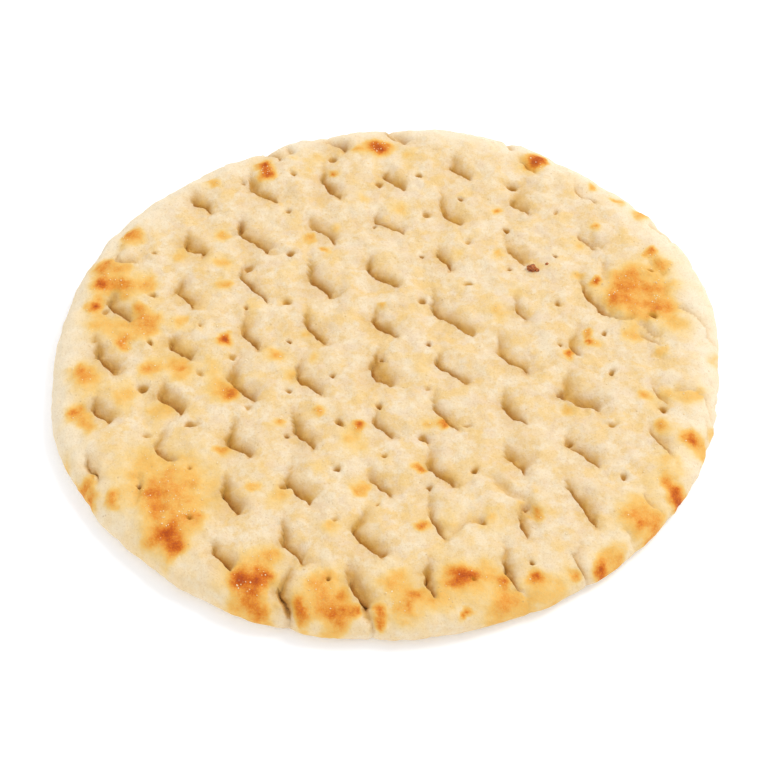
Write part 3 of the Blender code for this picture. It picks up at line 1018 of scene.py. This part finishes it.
def toasted(toast, dough, grain, mottle):
    """The dough with its toast, which grain and mottle break up wherever there is some."""
    edge = toast.between(0.05, 0.6)
    browned = toast + (grain - 0.5) * TOAST_GRAIN * edge + (mottle - 0.5) * TOAST_MOTTLE * edge
    ramp = toast.node("ShaderNodeValToRGB", {"stops": TOAST_STOPS}, {"Fac": browned})
    return browned.between(0.0, 0.35).mix(dough, ramp)


def dusted(here, colour, toast, grain):
    """Bran flecks, painted shade in the open pores, and a dusting of flour over the crust."""
    cells = here.node("ShaderNodeTexVoronoi", {}, {"Vector": here, "Scale": 1 / BRAN_STEP})
    bran = (1 - cells.between(0.05, 0.13)) * cloud(here, PATCH_LENGTH, 2, 0.5, 3.0).between(0.5, 0.62)
    colour = (bran * BRAN_SHARE).mix(colour, BRAN)
    # Painted shade in the fine pores, less of it where the crust is toasted.
    pores = (1 - grain.between(0.3, 0.5)) * (PORE_SHADE_SHARE - PORE_SHADE_SHARE * toast)
    colour = pores.mix(colour, PORE_SHADE_COLOUR)
    flour = grain.between(0.55, 0.75) * (FLOUR_SHARE - FLOUR_LOSS * toast)
    return flour.mix(colour, FLOUR)


# %% The crust's material


def crust_material():
    """Pale dough with grain, bran flecks, toasted patches and painted shade in the prints."""
    material, shader, here = new_material("baked_crust", CRUST_ROUGHNESS)
    toast = stored(here, "toast")
    hollow = stored(here, "hollow")
    grain = cloud(here, GRAIN_LENGTH, 3, 0.75)
    mottle = cloud(here, MOTTLE_LENGTH, 4, 0.65, 5.0)

    colour = toasted(toast, pale_dough(here, mottle), grain, mottle)
    colour = dusted(here, colour, toast, grain)
    # Painted shade: the prints darken to a warm brown with their depth, for the shade in their slits.
    colour = (hollow.between(0.02, 0.5) * SLIT_PAINTED_SHADE_SHARE).mix(colour, PAINTED_SHADE_IN_SLITS)
    colour.feed(shader.inputs["Base Color"])

    bumps = (grain - 0.5) * 0.8 + (cloud(here, BUMP_LENGTH, 3, 0.6, 4.0) - 0.5) * 1.2
    bump = here.node("ShaderNodeBump", {}, {"Height": bumps, "Strength": 0.75, "Distance": CRUST_BUMP})
    bump.feed(shader.inputs["Normal"])
    rough_skin = CRUST_ROUGHNESS + (grain - 0.5) * ROUGHNESS_SPREAD
    rough_skin.feed(shader.inputs["Roughness"])
    shader.inputs["Specular IOR Level"].default_value = CRUST_SHINE
    print("crust:", len(material.node_tree.nodes), "nodes")
    return material


bread.data.materials.append(crust_material())
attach(bread, "root")
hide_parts("pita")

# %% [markdown]
# ## Loose grains and a burnt crumb
#
# Semolina from the baking tray clings to the bread, most of it to the toasted crowns, and one
# scrap of dough on the right has burnt to a hard crumb with two splinters. Each grain is a tiny
# twenty-sided lump, and each crumb a finer ball that noise makes knobbly. They are real meshes,
# because particles and instances would be lost when the model is handed on.

# %% Grains and crumbs at true size
GRAINS = 620
GRAIN_SIZE = (0.10 * MM, 0.22 * MM)  # half across
GRAIN_UNEVEN = (0.7, 1.3)
GRAIN_SQUASH = (1.1, 1.1, 0.7)
GRAIN_RISE = 0.25  # how far its middle stands above the crust, as a part of its size
GRAIN_SHARES = (0.25, 3.0)  # on raw dough, and how much more on toast
# Where grains lie close together: right and back in mm, reach in mm, how many
CLUSTERS = (
    (-52, -51, 1.6, 14),
    (-32, 70.5, 1.2, 8),
    (1, 77.5, 1.5, 6),
    (73, 16, 1.0, 6),
    (-40, -75, 2.0, 6),
)
# Right and back in mm, and half its size
CRUMBS = (
    (41.0, 28.5, 1.25 * MM),
    (44.6, 29.4, 0.45 * MM),
    (41.9, 27.6, 0.6 * MM),
)
CRUMB_SQUASH = (1.0, 1.0, 0.75)
CRUMB_RISE = 0.3
KNOB = 0.28
KNOB_LENGTH = 0.8 * MM


def lump_shape(rounds):
    """Points and faces of a ball: twenty sides after one round, each split in four by the next."""
    ball = bmesh.new()
    bmesh.ops.create_icosphere(ball, subdivisions=rounds, radius=1.0)
    places = np.array([point.co[:] for point in ball.verts])
    corners = np.array([[point.index for point in face.verts] for face in ball.faces])
    ball.free()
    return places, corners


def gather(name, lumps):
    """One mesh piece from many small lumps, given as places and faces."""
    places = []
    corners = []
    count = 0
    for lump_places, lump_corners in lumps:
        places.append(lump_places)
        corners.append(lump_corners + count)
        count += len(lump_places)
    return make_piece(name, np.concatenate(places), np.concatenate(corners), {})


def scatter_grains():
    """Grains lying on the crust, more of them where it is toasted, and none in the prints."""
    draw = np.random.default_rng(8)
    ball, corners = lump_shape(1)
    level = (points[faces][:, :, 5].mean(1) > 0.8) & (sink[faces].mean(1) < 0.6 * MM)
    a, b, c = (moved[faces[:, k]] for k in range(3))
    area = np.linalg.norm(np.cross(b - a, c - a), axis=1)
    anywhere, on_toast = GRAIN_SHARES
    weight = area * level * (anywhere + on_toast * toast[faces].mean(1))
    chosen = list(draw.choice(len(faces), GRAINS, p=weight / weight.sum()))
    centres = (a + b + c) / 3
    for right, back, reach, count in CLUSTERS:
        away = np.hypot(centres[:, 0] - right * MM, centres[:, 1] - back * MM)
        close = level * bell(away, reach * MM) * area
        chosen += list(draw.choice(len(faces), count, p=close / close.sum()))
    grains = []
    for face in chosen:
        share = draw.dirichlet((1, 1, 1))
        size = draw.uniform(*GRAIN_SIZE)
        spread = size * draw.uniform(*GRAIN_UNEVEN, 3) * GRAIN_SQUASH
        middle = share @ np.array([a[face], b[face], c[face]]) + np.array((0, 0, GRAIN_RISE * size))
        grains.append((middle + ball * spread, corners))
    return gather("semolina_grains", grains)


def burn_crumbs():
    """The burnt scraps of dough, knobbly all over."""
    ball, corners = lump_shape(4)
    lumps = []
    for right, back, size in CRUMBS:
        away = np.hypot(moved[:, 0] - right * MM, moved[:, 1] - back * MM)
        away[points[:, 5] < 0] = np.inf
        middle = moved[np.argmin(away)] + np.array((0, 0, CRUMB_RISE * size))
        knobs = 1 + KNOB * rough(ball * size, KNOB_LENGTH, 3, right)
        lumps.append((middle + ball * knobs[:, None] * size * CRUMB_SQUASH, corners))
    return gather("burnt_crumbs", lumps)


# %% Their materials
SEMOLINA_LIGHT = dye(248, 230, 190)
SEMOLINA_DARK = dye(236, 202, 140)
SEMOLINA_ROUGHNESS = 0.55
BURNT_LIGHT = dye(196, 112, 40)
BURNT_DARK = dye(120, 52, 18)
BURNT_ROUGHNESS = 0.6
GRITTY_BUMP = 0.1 * MM


def gritty_material(name, light, dark, roughness):
    """A grainy material between two colours."""
    material, shader, here = new_material(name, roughness)
    grain = here.node("ShaderNodeTexNoise", {}, {"Vector": here, "Scale": 1 / GRAIN_LENGTH, "Detail": 3})
    grain.between(0.35, 0.65).mix(dark, light).feed(shader.inputs["Base Color"])
    bump = here.node("ShaderNodeBump", {}, {"Height": grain, "Strength": 0.5, "Distance": GRITTY_BUMP})
    bump.feed(shader.inputs["Normal"])
    return material


# %% Lay them on the bread
grains = scatter_grains()
grains.data.materials.append(gritty_material("semolina", SEMOLINA_LIGHT, SEMOLINA_DARK, SEMOLINA_ROUGHNESS))
crumbs = burn_crumbs()
crumbs.data.materials.append(gritty_material("burnt_dough", BURNT_LIGHT, BURNT_DARK, BURNT_ROUGHNESS))
for piece, slot in ((grains, "flour_grains"), (crumbs, "baked_dough")):
    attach(piece, "root")
    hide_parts("pita")
    print(piece.name, len(piece.data.polygons), "triangles")

# %% [markdown]
# ## Floor, light and camera
#
# A white sweep under soft light from all round, with one large lamp high at the back right so
# that the prints keep a shaded side. A weak lamp behind brightens the far rim, and another in
# front opens the shade of the near one. The camera looks down at about fifty degrees through a
# long lens, as for a shop picture of bread.

# %% Floor
FLOOR_SIZE = 3.0
FLOOR_GAP = 0.1 * MM  # just under the bread, so that the two faces do not fight
FLOOR_COLOUR = (0.93, 0.94, 0.97, 1)
FLOOR_ROUGHNESS = 0.9
FLOOR_GLOW = 0.14
WHITE = (1, 1, 1, 1)


def make_floor():
    """A plain white floor under the bread."""
    half = FLOOR_SIZE / 2
    corners = [(-half, -half, 0), (half, -half, 0), (half, half, 0), (-half, half, 0)]
    mesh = bpy.data.meshes.new("floor")
    mesh.from_pydata(corners, [], [(0, 1, 2, 3)])
    floor = bpy.data.objects.new("floor", mesh)
    bpy.context.scene.collection.objects.link(floor)
    floor.location.z = -FLOOR_GAP
    material, shader, _ = new_material("white_sweep", FLOOR_ROUGHNESS)
    shader.inputs["Base Color"].default_value = FLOOR_COLOUR
    shader.inputs["Emission Color"].default_value = WHITE
    shader.inputs["Emission Strength"].default_value = FLOOR_GLOW
    mesh.materials.append(material)


make_floor()

# %% Light
WORLD_STRENGTH = 0.79
LAMP_SIZE = 0.9
# Where each lamp stands, in metres from the bread, and its power in watts
LAMPS = {
    "key": ((1.36, 0.72, 1.6), 20.5),
    "back": ((0.1, 1.6, 1.2), 3.5),
    "front fill": ((-0.5, -0.8, 0.5), 1.8),
}


def make_lamp(name, place, power):
    """A square soft lamp that faces the bread."""
    data = bpy.data.lights.new(name, "AREA")
    data.size = LAMP_SIZE
    data.energy = power
    lamp = bpy.data.objects.new(name, data)
    bpy.context.scene.collection.objects.link(lamp)
    lamp.location = place
    lamp.rotation_euler = (-Vector(place)).to_track_quat("-Z", "Y").to_euler()


world = bpy.data.worlds.new("white_studio")
world.use_nodes = True
world.node_tree.nodes["Background"].inputs["Color"].default_value = WHITE
world.node_tree.nodes["Background"].inputs["Strength"].default_value = WORLD_STRENGTH
bpy.context.scene.world = world
for name, (place, power) in LAMPS.items():
    make_lamp(name, place, power)
bpy.context.scene.view_settings.view_transform = "Standard"
print(len(LAMPS), "lamps and a white world")

# %% Camera
CAMERA_TILT = math.radians(49.5)  # above the floor
CAMERA_ROLL = math.radians(-2.24)
CAMERA_DISTANCE = 0.6895
CAMERA_LENS = 120.9
CAMERA_SENSOR = 36
CAMERA_TARGET = Vector((-0.9 * MM, -4.1 * MM, 0))

camera_data = bpy.data.cameras.new("camera")
camera_data.lens = CAMERA_LENS
camera_data.sensor_width = CAMERA_SENSOR
camera = bpy.data.objects.new("camera", camera_data)
bpy.context.scene.collection.objects.link(camera)
tilt = Matrix.Rotation(math.pi / 2 - CAMERA_TILT, 4, "X")
roll = Matrix.Rotation(CAMERA_ROLL, 4, "Z")
back = (tilt @ Vector((0, 0, 1))) * CAMERA_DISTANCE
camera.matrix_world = Matrix.Translation(CAMERA_TARGET + back) @ tilt @ roll
bpy.context.scene.camera = camera
print("camera", round(CAMERA_DISTANCE, 2), "m away")

# %% Finish
bpy.context.view_layer.update()
